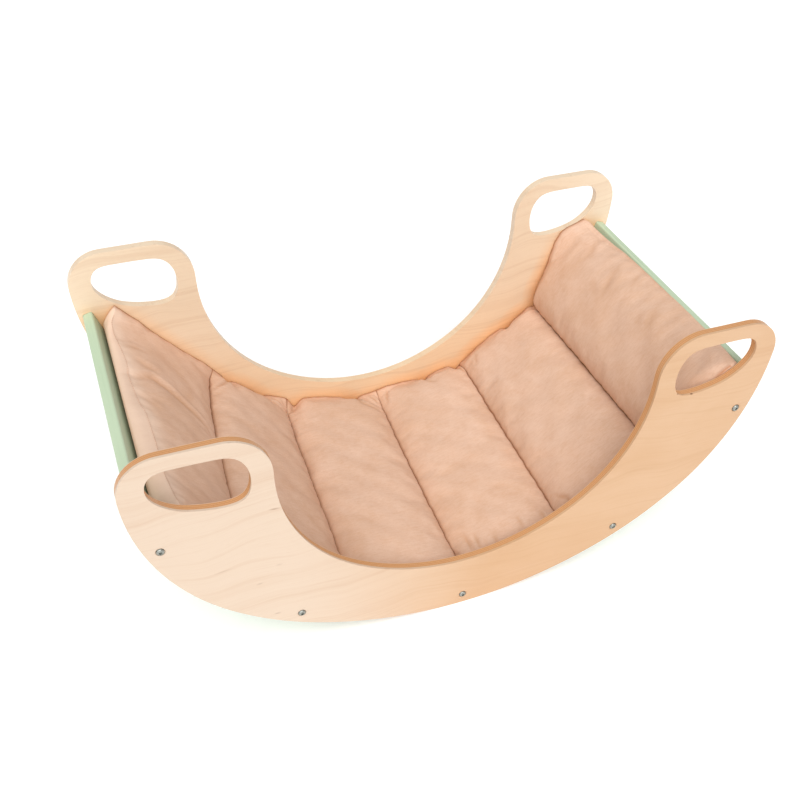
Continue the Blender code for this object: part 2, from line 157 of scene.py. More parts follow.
# Unevenness of the stuffing, of the puckers that the stitching draws in, and of the seams themselves, as
# waves: a length in millimetres, a direction and a start in radians.
LUMP_WAVES = (
    (147, 0.4, 0.3), (96, 1.9, 2.1), (71, 1.1, 4.0), (53, 2.6, 1.2), (113, 2.9, 5.1), (39, 0.8, 3.3),
)  # fmt: skip
LUMP_HEIGHT = 1.0
PUCKER_WAVES = ((31, 0.0, 0.5), (19, 0.15, 2.2), (13, -0.12, 4.4), (47, 0.1, 1.0))
PUCKER_HEIGHT = 0.5
PUCKER_REACH = 13.0
PUCKER_START = 3.0
SEAM_WAVES = ((83, 0.0, 0.2), (41, 0.0, 1.7), (24, 0.0, 3.9))
SEAM_WANDER = 0.4
SEAM_WAVE_SHIFT = 97.0

# Painted shade and light on the mat's fabric: how wide the painted shade at the seams and the rim is, how
# far the painted shade on a channel's left flank and the painted light over the boxed left corner reach,
# and how strong these two are.
SEAM_LINE_WIDTH = 0.9
RIM_WIDTH = 2.6
FLANK_REACH = 6.0
FLANK_SHARE = 0.8
CORNER_LIGHT_REACH = 16.0
CORNER_LIGHT_SHARE = 0.6

# The cloth simulation that fills the mat's top sheet: its frames, how much the cloth grows, its settings,
# and how many rows at both ends of a seam stay free.
CLOTH_FRAMES = 20
CLOTH_GROWTH = 0.006
CLOTH_SETTINGS = {
    "quality": 4,
    "mass": 0.25,
    "tension_stiffness": 12.0,
    "compression_stiffness": 12.0,
    "shear_stiffness": 4.0,
    "bending_stiffness": 0.35,
    "tension_damping": 8.0,
    "compression_damping": 8.0,
    "shear_damping": 6.0,
    "air_damping": 3.0,
    "use_pressure": True,
    "uniform_pressure_force": 1.0,
    "pin_stiffness": 1.0,
}
SEAM_FREE_ROWS = 5

# Thread: pitch and length of a stitch, how far it stands over the seam, the points of a seam without
# stitches at both ends, the sides of a stitch, its radius, and its thickness along its length, as places
# and shares of that radius.
STITCH_PITCH = 4.0
STITCH_LENGTH = 3.2
STITCH_LIFT = 0.7
STITCH_MARGIN = 4
STITCH_SIDES = 6
STITCH_RADIUS = 0.45
STITCH_PROFILE = ((-0.5, 0.15), (-0.3, 0.8), (0.0, 1.0), (0.3, 0.8), (0.5, 0.15))

# Colours as 8-bit sRGB.
BIRCH_PALE = (206, 168, 132)
BIRCH_WARM = (199, 157, 117)
BIRCH_DARK = (180, 130, 86)
# Painted light: the back panel's veneer is paler than the front panel's, standing in for light it lacks;
# below it, a warmer tone low on the back panel is painted shade beside the mat.
BIRCH_BACK_PAINTED_LIGHT = (232, 212, 186)
BIRCH_LOW_PAINTED_SHADE = (236, 209, 175)
# Painted light: a paler, cooler tone at the front panel's left end.
BIRCH_LEFT_PAINTED_LIGHT = (213, 191, 170)
# Painted contact shade of the wood beside the mat.
CONTACT_PAINTED_SHADE = (240, 182, 122)
EDGE_LIGHT = (222, 171, 121)
EDGE_MIDDLE = (212, 153, 101)
EDGE_DARK = (187, 127, 78)
EDGE_GLUE = (116, 70, 38)
ZINC_LIGHT = (182, 184, 178)
ZINC_DARK = (142, 144, 138)
GREEN_LIGHT = (196, 212, 184)
GREEN_DEEP = (184, 203, 172)
GREEN_DARK = (150, 176, 142)
SUEDE_LIGHT = (225, 191, 169)
SUEDE_MIDDLE = (216, 178, 152)
# Also the painted shade in the mat's folds and on its channels' left flanks.
SUEDE_DEEP_AND_SHADE = (196, 148, 112)
SEAM_SHADE = (122, 62, 22)
RIM_SHADE = (168, 98, 46)
# Painted light over the boxed left end of the mat.
SUEDE_CORNER_LIGHT = (234, 208, 188)
THREAD_PALE = (222, 188, 164)
# Painted shade: the quilting thread is dark so that each seam's groove reads dark.
THREAD_GROOVE_SHADE = (150, 92, 48)

# Where the painted light changes along the front panel, paler towards its left end, and where the painted
# warm shade starts up the back one, and the reach of the painted contact shade beside the mat, in metres.
LEFT_LIGHT_SPAN = (0.06, -0.27)
BACK_SHADE_SPAN = (0.26, 0.1)
CONTACT_SHADE_REACH = 0.022

# The greatest angle in degrees over which the board's shading stays smooth.
SMOOTH_ANGLE = 32.0

# Studio: a pale floor that glows a little, an even world, and one broad light with a spread in degrees.
FLOOR_RADIUS = 30.0
FLOOR_SIDES = 96
FLOOR_DROP = 0.0002
FLOOR_GLOW = 0.14
WORLD_COLOR = (1.0, 0.985, 0.97, 1.0)
WORLD_STRENGTH = 0.5
LIGHT_DIRECTION = (-0.2, -0.62, 0.75)
LIGHT_STRENGTH = 2.78
LIGHT_SPREAD = 60.0
LIGHT_COLOR = (0.985, 1.0, 1.0)

# Small marks in the front panel's wood, in millimetres: place x, depth behind the face and place z, then
# length, thickness and width, a tilt in radians and a strength. The last three are one small gap between
# plies on the lower rim of the right hand-hold.
WOOD_MARKS = (
    (-263, 0, 289, 8.1, 3, 1.8, 0.08, 0.55),
    (-293, 0, 161, 5.9, 3, 2.0, -0.10, 0.28),
    (-275, 0, 92, 5.6, 3, 1.9, 0.09, 0.4),
    (-265, 0, 188, 6.1, 3, 2.0, 0.07, 0.2),
    (-302, 0, 408, 5.9, 3, 1.6, 0.06, 0.45),
    (-336, 0, 202, 14.4, 3, 1.6, -0.13, 0.22),
    (295, 1, 318, 2.8, 1.8, 2.6, 0.0, 1.8),
    (318.3, 1, 311.8, 2.8, 1.8, 2.6, 0.0, 1.8),
    (307, 1.4, 314, 12.0, 1.0, 2.2, -0.26, 0.9),
)

# Creases drawn into the mat's top: a line of stations and places across, a depth and a width.
CREASES = (
    (
        ((-523, 84), (-509, 81), (-482, 94), (-454, 84), (-426, 70), (-402, 51), (-383, 41), (-379, 22)),
        3.4,
        5.0,
    ),
    (((-529, 146), (-505, 154), (-482, 152)), 1.4, 4.0),
    (((-510, 124), (-491, 113), (-469, 110)), 1.5, 6.0),
    (((-519, 59), (-504, 68), (-489, 70)), 1.0, 3.5),
    (((-517, 43), (-503, 33), (-490, 19)), 1.2, 4.5),
    (((-520, 17), (-507, 7), (-501, -9)), 0.8, 4.5),
    (((-380, 12), (-393, 26), (-411, 33)), 1.0, 4.0),
    (((-287, 204), (-310, 182), (-324, 172)), 3.6, 3.0),
    (((-309, 166), (-329, 152)), 1.4, 3.5),
    (((-212, 208), (-202, 193), (-178, 184)), 3.8, 3.2),
    (((-166, 186), (-148, 196), (-139, 210)), 3.8, 3.2),
    (((-30, 206), (-22, 178), (-9, 169), (7, 163)), 3.6, 3.0),
    (((2, 204), (12, 184)), 2.8, 2.6),
    (((38, 204), (31, 177)), 2.6, 2.6),
    (((111, 206), (116, 182), (129, 171)), 3.4, 2.8),
    (((180, 206), (188, 176)), 2.8, 2.8),
    (((227, 192), (217, 164)), 1.6, 3.0),
    (((6, -176), (14, -198)), 2.4, 2.8),
    (((30, -158), (33, -176), (34, -200)), 3.0, 3.0),
    (((47, -166), (46, -196)), 2.4, 2.8),
    (((78, -174), (72, -202)), 2.8, 3.0),
    (((121, -170), (116, -200)), 2.6, 3.0),
    (((160, -172), (158, -198)), 2.6, 2.8),
    (((108, -97), (124, -103), (141, -110)), 0.9, 5.0),
    (((200, -162), (212, -173), (219, -194)), 2.4, 3.0),
    (((196, -183), (214, -185)), 1.8, 2.8),
    (((548, 167), (517, 150), (495, 145)), 1.3, 5.0),
    (((536, 82), (510, 71), (483, 56)), 1.4, 6.0),
    (((550, 45), (523, 26)), 1.1, 5.0),
    (((487, 94), (471, 61)), 0.9, 6.0),
    (((510, -27), (490, -45)), 0.9, 6.0),
    (((546, -34), (516, -51), (492, -69)), 1.0, 7.0),
)

# How a crease is cut: along its line its strength is this stretch of a half wave; the ridge beside it has a
# share of its depth and lies this many widths away; the painted shade in a fold is darkest from this depth
# on; and every crease runs out over this distance from the border.
CREASE_SPAN = (0.1, 0.9)
RIDGE_SHARE = 0.55
RIDGE_PLACE = 1.7
DARK_FOLD_DEPTH = 2.5
CREASE_MARGIN = 3.0

# Where the mat's top meets the back panel: station and height. At the front panel the top sinks by a set
# depth instead.
EDGE_LINE = (
    (-553, 26), (-540, 34), (-506, 50), (-464, 60), (-430, 67), (-385, 71), (-349, 72), (-329, 69),
    (-309, 65), (-284, 60), (-258, 57), (-233, 51), (-209, 46), (-173, 43), (-142, 40), (-124, 42),
    (-103, 43), (-80, 42), (-53, 38), (-31, 33), (-10, 34), (11, 36), (42, 41), (73, 39), (101, 34),
    (113, 31), (126, 31), (148, 33), (167, 31), (180, 27), (198, 26), (233, 37), (265, 42), (291, 41),
    (303, 37), (317, 36), (344, 35), (369, 35), (388, 43), (414, 51), (442, 57), (476, 63), (507, 65),
    (530, 60), (541, 51), (548, 39), (558, 21),
)  # fmt: skip
FRONT_SINK = 13.0

# Tucks that the back panel presses into the mat's border between its lobes: a station, how far the tuck
# leans along the mat by its inner end, a depth and a width. The last value is how far in they reach.
TUCKS = (
    (-284, 4, 9, 8),
    (-209, 6, 8, 9),
    (-141, -3, 16, 10),
    (-30, 22, 19, 11),
    (113, 8, 12, 8),
    (181, -6, 10, 8),
    (303, 0, 8, 9),
    (369, 0, 8, 8),
)
TUCK_REACH = 26.0


def srgb(red, green, blue):
    """Linear colour of an 8-bit sRGB one."""
    out = []
    for value in (red, green, blue):
        share = value / 255
        out.append(share / 12.92 if share <= 0.04045 else ((share + 0.055) / 1.055) ** 2.4)
    return (*out, 1.0)


def rocker_arcs():
    """Centre, radius and turn range of the rocking edge's arcs, as in part.py."""
    turns = [0.0, *(math.radians(a) for a in ROCKER_TURNS), math.pi / 2]
    centre = np.array((0.0, ROCKER_RADII[0]))
    arcs = []
    for i, radius in enumerate(ROCKER_RADII):
        if i:
            drop = ROCKER_RADII[i - 1] - radius
            centre = centre + drop * np.array((math.sin(turns[i]), -math.cos(turns[i])))
        arcs.append((centre, radius, turns[i], turns[i + 1]))
    return arcs


ARCS = rocker_arcs()


def over_slats(station, height):
    """Points x, z at stations along the slats' inner faces and heights over them, as arrays."""
    station, height = np.broadcast_arrays(np.asarray(station, float), np.asarray(height, float))
    side = np.where(station < 0, -1.0, 1.0)
    distance = np.abs(station)
    x = np.zeros_like(distance)
    z = np.zeros_like(distance)
    passed = 0.0
    for centre, radius, start, end in ARCS:
        face_radius = radius - SLAT_FACE_INSET
        here = distance >= passed - TINY
        turn = start + (distance - passed) / face_radius
        x = np.where(here, centre[0] + (face_radius - height) * np.sin(turn), x)
        z = np.where(here, centre[1] - (face_radius - height) * np.cos(turn), z)
        passed += face_radius * (end - start)
    return side * x, z


def smooth(value):
    """Smooth change from 0 to 1."""
    value = np.clip(value, 0.0, 1.0)
    return value * value * (3 - 2 * value)


def cross_line(number, y):
    """Station and height of a cross line at places across the width, with its corners eased."""
    table = np.array(CROSS_LINES[number][::-1], float)
    offsets = np.array((-1.0, -0.5, 0.0, 0.5, 1.0))[:, None] * LINE_EASE
    places = y[None] + offsets
    station = np.interp(places, table[:, 0], table[:, 1]).mean(axis=0)
    height = np.interp(places, table[:, 0], table[:, 2]).mean(axis=0)
    wander = SEAM_WANDER * waves(SEAM_WAVES, y + SEAM_WAVE_SHIFT * number, 0.0)
    return station + wander, height


def edge_height(station):
    """Height of the line where the mat's top meets the back panel."""
    table = np.array(EDGE_LINE, float)
    return np.interp(station, table[:, 0], table[:, 1])


def rise(share, powers):
    """Rise of a channel's top from one of its lines, 0 there and 1 from the middle on."""
    outer, inner = powers
    return (1.0 - (1.0 - 2.0 * np.minimum(share, 0.5)) ** outer) ** inner


def waves(table, x, y):
    """Sum of plane waves between about -1 and 1."""
    total = 0.0
    for length, direction, start in table:
        along = x * math.cos(direction) + y * math.sin(direction)
        total = total + np.sin(2 * math.pi * along / length + start)
    return total / math.sqrt(len(table))


class Grid:
    """Columns along the mat and rows across it, both closer together near seams and borders."""

    def __init__(self):
        columns = []
        middles = [rows[len(rows) // 2][1] for rows in CROSS_LINES]
        for i, (start, end) in enumerate(zip(middles, middles[1:])):
            count = round((end - start) / GRID_STEP)
            columns += [(i, self.eased(k / count, COLUMN_EASE)) for k in range(count)]
        columns.append((len(middles) - 2, 1.0))
        self.channel = np.array([c[0] for c in columns])
        self.share = np.array([c[1] for c in columns])[:, None]
        self.seams = np.array([i > 0 and share == 0.0 for i, share in columns])
        count = round(2 * MAT_HALF_WIDTH / GRID_STEP)
        rows = [self.eased(k / count, ROW_EASE) for k in range(count + 1)]
        self.y = MAT_HALF_WIDTH * (1.0 - 2.0 * np.array(rows))

    @staticmethod
    def eased(even, ease):
        """An even share of the way, moved towards the nearer end."""
        return (1.0 - ease) * even + ease * (0.5 - 0.5 * math.cos(math.pi * even))

    def fullness(self):
        """How full the stuffing is at every column: 0 at a line, 1 where a channel is highest."""
        sides = [CHANNELS[i][1:3] for i in self.channel]
        share = self.share[:, 0]
        left = np.array([rise(t, powers[0]) for t, powers in zip(share, sides)])
        right = np.array([rise(1 - t, powers[1]) for t, powers in zip(share, sides)])
        return (left * right)[:, None]

    def seam_distance(self, length):
        """Distance of every point to the nearest quilting seam, which the mat's two ends aren't."""
        from_left = self.share * length
        from_right = (1.0 - self.share) * length
        nearest = np.minimum(from_left, from_right)
        first = self.channel == 0
        last = self.channel == len(CHANNELS) - 1
        nearest[first] = from_right[first]
        nearest[last] = from_left[last]
        return nearest

    def between(self, lines):
        """Values between the cross lines on both sides of every column."""
        low = lines[self.channel]
        high = lines[self.channel + 1]
        share = self.share.reshape(-1, *([1] * (lines.ndim - 1)))
        return low + (high - low) * share


def section_points(station, height):
    """Points as x, z pairs at stations along the slats and heights over them."""
    return np.stack(over_slats(station, height), axis=-1)


def stuffing(grid, station, y, from_seam):
    """How far the filling lifts the mat's top over straight chords between its lines."""
    full = grid.fullness()
    crown = np.array([c[0] for c in CHANNELS])[grid.channel][:, None]
    from_border = MAT_HALF_WIDTH - np.abs(y)
    lumps = LUMP_HEIGHT * waves(LUMP_WAVES, station, y) * full * np.clip(from_border / EDGE_ROLL, 0, 1)
    draw = np.exp(-from_seam / PUCKER_REACH) * (1 - np.exp(-from_seam / PUCKER_START))
    return crown * full + lumps + PUCKER_HEIGHT * waves(PUCKER_WAVES, y, station) * draw


def shading(grid, y, length, from_seam):
    """Painted shade at the seams, the rim and the channels' left flanks, and painted light over the left
    corner.
    """
    from_left = grid.share * length
    from_border = MAT_HALF_WIDTH - np.abs(y)
    boxed_end = (grid.channel == 0)[:, None]
    return {
        "seam": np.exp(-((from_seam / SEAM_LINE_WIDTH) ** 2)),
        "rim": np.exp(-((from_border / RIM_WIDTH) ** 2)),
        "flank": FLANK_SHARE * np.exp(-from_left / FLANK_REACH) * ~boxed_end,
        "corner_light": CORNER_LIGHT_SHARE * np.exp(-((from_left / CORNER_LIGHT_REACH) ** 2)) * boxed_end,
    }


def top_sheet(grid):
    """Points of the mat's top, their outward direction and station, and where its fabric is shaded."""
    lines = [cross_line(i, grid.y) for i in range(len(CROSS_LINES))]
    stations = np.array([line[0] for line in lines])
    places = section_points(stations, np.array([line[1] for line in lines]))
    chord = np.diff(places, axis=0)[grid.channel]
    length = np.linalg.norm(chord, axis=-1)
    inward = np.stack((-chord[..., 1], chord[..., 0]), axis=-1) / length[..., None]
    station = grid.between(stations)
    y = np.broadcast_to(grid.y, station.shape)
    from_seam = grid.seam_distance(length)
    puff = stuffing(grid, station, y, from_seam)
    body = grid.between(places) + inward * puff[..., None]

    border = section_points(station, edge_height(station[:, :1]))
    front = grid.y < 0
    sink = FRONT_SINK * grid.fullness()[..., None]
    border[:, front] = body[:, -1:] - inward[:, -1:] * sink
    weight = 1.0 - smooth((MAT_HALF_WIDTH - np.abs(y)) / EDGE_ROLL)
    top = body + (border - body) * weight[..., None]
    return top, inward, station, shading(grid, y, length, from_seam)


def under_sheet(grid):
    """Points of the mat's flat underside, which only lifts off the slats below the seams."""
    stations = np.array([cross_line(i, grid.y)[0] for i in range(len(CROSS_LINES))])
    ends = np.array(UNDER_ENDS, float)
    for number, column in ((0, 1), (-1, 2)):
        stations[number] = np.interp(grid.y, ends[::-1, 0], ends[::-1, column])
    heights = np.broadcast_to(np.array(UNDER_HEIGHTS)[:, None], stations.shape)
    stuffed = rise(grid.share, UNDER_RISE) * rise(1 - grid.share, UNDER_RISE)
    lift = (grid.between(heights) - MAT_REST_GAP) * (1.0 - stuffed) ** UNDER_LIFT_POWER
    return section_points(grid.between(stations), MAT_REST_GAP + lift)


def with_width(section, y):
    """Points in metres from x, z sections in millimetres and places across the width."""
    wide = np.broadcast_to(y, section.shape[:2])
    return np.stack((section[..., 0], wide, section[..., 1]), axis=-1) * MM


def along_crease(line, station, y):
    """Every point's distance from a crease, on which side of it the point lies, and its strength there."""
    line = np.array(line, float)
    spans = np.linalg.norm(np.diff(line, axis=0), axis=1)
    passed = 0.0
    nearest = np.full(station.shape, np.inf)
    side = np.zeros_like(station)
    strength = np.zeros_like(station)
    for start, end, span in zip(line, line[1:], spans):
        ahead = (end - start) / span
        run = (station - start[0]) * ahead[0] + (y - start[1]) * ahead[1]
        run = np.clip(run, 0, span)
        off_x = station - start[0] - run * ahead[0]
        off_y = y - start[1] - run * ahead[1]
        distance = np.hypot(off_x, off_y)
        share = np.interp((passed + run) / spans.sum(), (0, 1), CREASE_SPAN)
        closer = distance < nearest
        nearest = np.where(closer, distance, nearest)
        side = np.where(closer, np.sign(ahead[0] * off_y - ahead[1] * off_x), side)
        strength = np.where(closer, np.sin(math.pi * share), strength)
        passed += span
    return nearest, side, strength


def crease_depth(station, y):
    """Depth of the creases and tucks at every point, and how much painted shade their folds get."""
    depth = np.zeros_like(station)
    fold = np.zeros_like(station)
    for line, deep, width in CREASES:
        distance, side, strength = along_crease(line, station, y)
        valley = np.exp(-((distance / width) ** 2))
        ridge = RIDGE_SHARE * np.exp(-((distance / width - RIDGE_PLACE) ** 2)) * (side > 0)
        depth += deep * strength * (valley - ridge)
        # Painted shade in the fold.
        fold = np.maximum(fold, valley * strength * min(deep / DARK_FOLD_DEPTH, 1.0))
    from_border = MAT_HALF_WIDTH - np.abs(y)
    depth *= np.clip(from_border / CREASE_MARGIN, 0, 1)
    for start, lean, deep, width in TUCKS:
        off = station - start - lean * from_border / TUCK_REACH
        valley = np.exp(-((off / width) ** 2) - (from_border / TUCK_REACH) ** 2) * (y > 0)
        depth += deep * valley
        # Painted shade in the tuck.
        fold = np.maximum(fold, valley**3)
    return depth, fold


def link_mesh(name, verts, faces):
    """A new object of the scene with a mesh of these points and faces."""
    mesh = bpy.data.meshes.new(name)
    mesh.from_pydata(verts.reshape(-1, 3).tolist(), [], faces)
    obj = bpy.data.objects.new(name, mesh)
    bpy.context.scene.collection.objects.link(obj)
    return obj


def quads(index, flip):
    """Faces between the rows and columns of a grid of point numbers."""
    corners = (index[:-1, :-1], index[1:, :-1], index[1:, 1:], index[:-1, 1:])
    made = np.stack(corners, axis=-1).reshape(-1, 4)
    return (made[:, ::-1] if flip else made).tolist()


def add_cloth(sheet, held):
    """Put the cloth simulation on a sheet, with the points of one vertex group held."""
    cloth = sheet.modifiers.new("cloth", "CLOTH")
    for name, value in CLOTH_SETTINGS.items():
        setattr(cloth.settings, name, value)
    cloth.settings.shrink_min = -CLOTH_GROWTH
    cloth.settings.vertex_group_mass = held
    cloth.settings.effector_weights.gravity = 0.0
    cloth.collision_settings.use_collision = False
    cloth.collision_settings.use_self_collision = False
    cloth.point_cache.frame_start = 1
    cloth.point_cache.frame_end = CLOTH_FRAMES


def simulated_top(points, grid):
    """The mat's top sheet puffed up by a cloth simulation, held at its seams and its border."""
    along, across = points.shape[:2]
    index = np.arange(along * across).reshape(along, across)
    sheet = link_mesh("mat_top_cloth", points, quads(index, True))
    held = np.zeros((along, across), bool)
    held[[0, -1], :] = True
    held[:, [0, -1]] = True
    held[grid.seams, SEAM_FREE_ROWS:-SEAM_FREE_ROWS] = True
    group = sheet.vertex_groups.new(name="held")
    group.add([int(i) for i in index[held]], 1.0, "REPLACE")
    add_cloth(sheet, group.name)
    for frame in range(1, CLOTH_FRAMES + 1):
        bpy.context.scene.frame_set(frame)
    graph = bpy.context.evaluated_depsgraph_get()
    settled = sheet.evaluated_get(graph).to_mesh()
    moved = np.zeros(along * across * 3, np.float32)
    settled.vertices.foreach_get("co", moved)
    mesh = sheet.data
    bpy.data.objects.remove(sheet)
    bpy.data.meshes.remove(mesh)
    bpy.context.scene.frame_set(1)
    shift = moved.reshape(points.shape) - points
    length = np.linalg.norm(shift, axis=-1, keepdims=True)
    cap = np.array([c[3] for c in CHANNELS])[grid.channel][:, None, None] * MM
    return points + shift * (cap * np.tanh(length / cap) / np.maximum(length, TINY))


def wall(upper, lower, out):
    """Rows of points between an upper and a lower line, bulged outwards, without the two lines."""
    steps = np.linspace(0, 1, SIDE_ROWS + 2)[1:-1, None, None]
    return upper + (lower - upper) * steps + np.sin(math.pi * steps) * np.array(out) * MM


def closed_shell(grid, station, top, under):
    """Points and faces of the mat all round, the top's points first, and the points of its left end."""
    along, across = station.shape
    index_top = np.arange(along * across).reshape(along, across)
    index_under = index_top + along * across
    verts = [top, under]
    count = 2 * along * across
    faces = quads(index_top, False) + quads(index_under, True)
    sides = {}
    for column, out in ((0, SIDE_BULGE), (-1, -SIDE_BULGE)):
        points = wall(top[:, column], under[:, column], (0.0, out, 0.0))
        points[..., 1] = np.clip(points[..., 1], -MAT_HALF_WIDTH * MM, MAT_HALF_WIDTH * MM)
        sides[column] = np.arange(SIDE_ROWS * along).reshape(SIDE_ROWS, along) + count
        count += SIDE_ROWS * along
        verts.append(points)
        rows = np.vstack((index_top[None, :, column], sides[column], index_under[None, :, column]))
        faces += quads(rows, column == 0)
    ends = []
    for row, bulge in ((0, -END_BULGE[0]), (-1, END_BULGE[1])):
        here, further = with_width(section_points([station[row], station[row] + 1.0], 0.0), grid.y)
        points = wall(top[row, 1:-1], under[row, 1:-1], (further - here)[1:-1] / MM * bulge)
        middle = np.arange(SIDE_ROWS * (across - 2)).reshape(SIDE_ROWS, across - 2) + count
        count += middle.size
        verts.append(points)
        ends.append(middle)
        inner = np.hstack((sides[0][:, row][:, None], middle, sides[-1][:, row][:, None]))
        rows = np.vstack((index_top[row][None], inner, index_under[row][None]))
        faces += quads(rows, row == 0)
    return np.vstack([v.reshape(-1, 3) for v in verts]), faces, ends[0]


def face_outwards(mesh):
    """Turn every face of a closed mesh outwards."""
    shape = bmesh.new()
    shape.from_mesh(mesh)
    bmesh.ops.recalc_face_normals(shape, faces=shape.faces)
    shape.to_mesh(mesh)
    shape.free()


def build_mat():
    """The closed mat, and its top's points and outward directions along the corner and the seams."""
    grid = Grid()
    section, inward, station, paints = top_sheet(grid)
    y = np.broadcast_to(grid.y, station.shape)
    top = with_width(section, grid.y)
    top = simulated_top(top, grid)
    depth, fold = crease_depth(station, y)
    normal = np.stack((inward[..., 0], np.zeros_like(y), inward[..., 1]), axis=-1)
    top = top - normal * depth[..., None] * MM
    under = with_width(under_sheet(grid), grid.y * (1.0 - UNDER_DRAWN_IN / MAT_HALF_WIDTH))

    verts, faces, left_end = closed_shell(grid, station, top, under)
    mat = link_mesh("quilted_mat_cover", verts, faces)
    face_outwards(mat.data)
    mat.data.shade_smooth()
    # Painted shade of the folds and the channels' left flanks.
    paints["fold"] = np.maximum(fold, paints.pop("flank"))
    for name, values in paints.items():
        paint(mat, name, values)
    # Painted light over the whole left end wall.
    corner_light = mat.data.attributes["corner_light"].data
    for index in left_end.ravel():
        corner_light[int(index)].value = CORNER_LIGHT_SHARE
    crease_corner(mat, range(len(grid.y)))

    seams = [(top[i], normal[i]) for i in np.flatnonzero(grid.seams)]
    return mat, (top[0], normal[0]), seams


def paint(obj, name, values):
    """Keep a value for every point of the top sheet, which come first, and 0 for the others."""
    full = np.zeros(len(obj.data.vertices), np.float32)
    full[: values.size] = values.ravel()
    obj.data.attributes.new(name, "FLOAT", "POINT").data.foreach_set("value", full)


def crease_corner(obj, corner):
    """Break the shading along the stitched corner of the boxed end."""
    sharp = [e.vertices[0] in corner and e.vertices[1] in corner for e in obj.data.edges]
    obj.data.attributes.new("sharp_edge", "BOOLEAN", "EDGE").data.foreach_set("value", sharp)


def stitch(points, run, middle, up):
    """Rings of points round one short thread that lies along a seam about a place on it."""
    steps, girth = np.array(STITCH_PROFILE).T
    reach = middle + steps * STITCH_LENGTH * MM
    centre = np.stack([np.interp(reach, run, points[:, k]) for k in range(3)], axis=-1)
    ahead = centre[-1] - centre[0]
    side = np.cross(up, ahead / np.linalg.norm(ahead))
    turns = np.linspace(0, 2 * math.pi, STITCH_SIDES, endpoint=False)
    circle = np.cos(turns)[:, None] * side + np.sin(turns)[:, None] * up
    return centre[:, None] + circle[None] * girth[:, None, None] * STITCH_RADIUS * MM


def build_stitches(name, lines):
    """One piece of short threads laid along seams."""
    ring = np.arange(len(STITCH_PROFILE) * STITCH_SIDES).reshape(len(STITCH_PROFILE), STITCH_SIDES)
    tube = np.hstack((ring, ring[:, :1]))
    verts = []
    faces = []
    for points, normals in lines:
        inner = slice(STITCH_MARGIN, -STITCH_MARGIN)
        points = points[inner] + normals[inner] * STITCH_LIFT * MM
        run = np.r_[0, np.cumsum(np.linalg.norm(np.diff(points, axis=0), axis=1))]
        for middle in np.arange(STITCH_PITCH * MM, run[-1] - STITCH_PITCH * MM, STITCH_PITCH * MM):
            faces += quads(tube + len(verts) * ring.size, False)
            verts.append(stitch(points, run, middle, normals[len(normals) // 2]))
    stitches = link_mesh(name, np.array(verts), faces)
    stitches.data.shade_smooth()
    return stitches


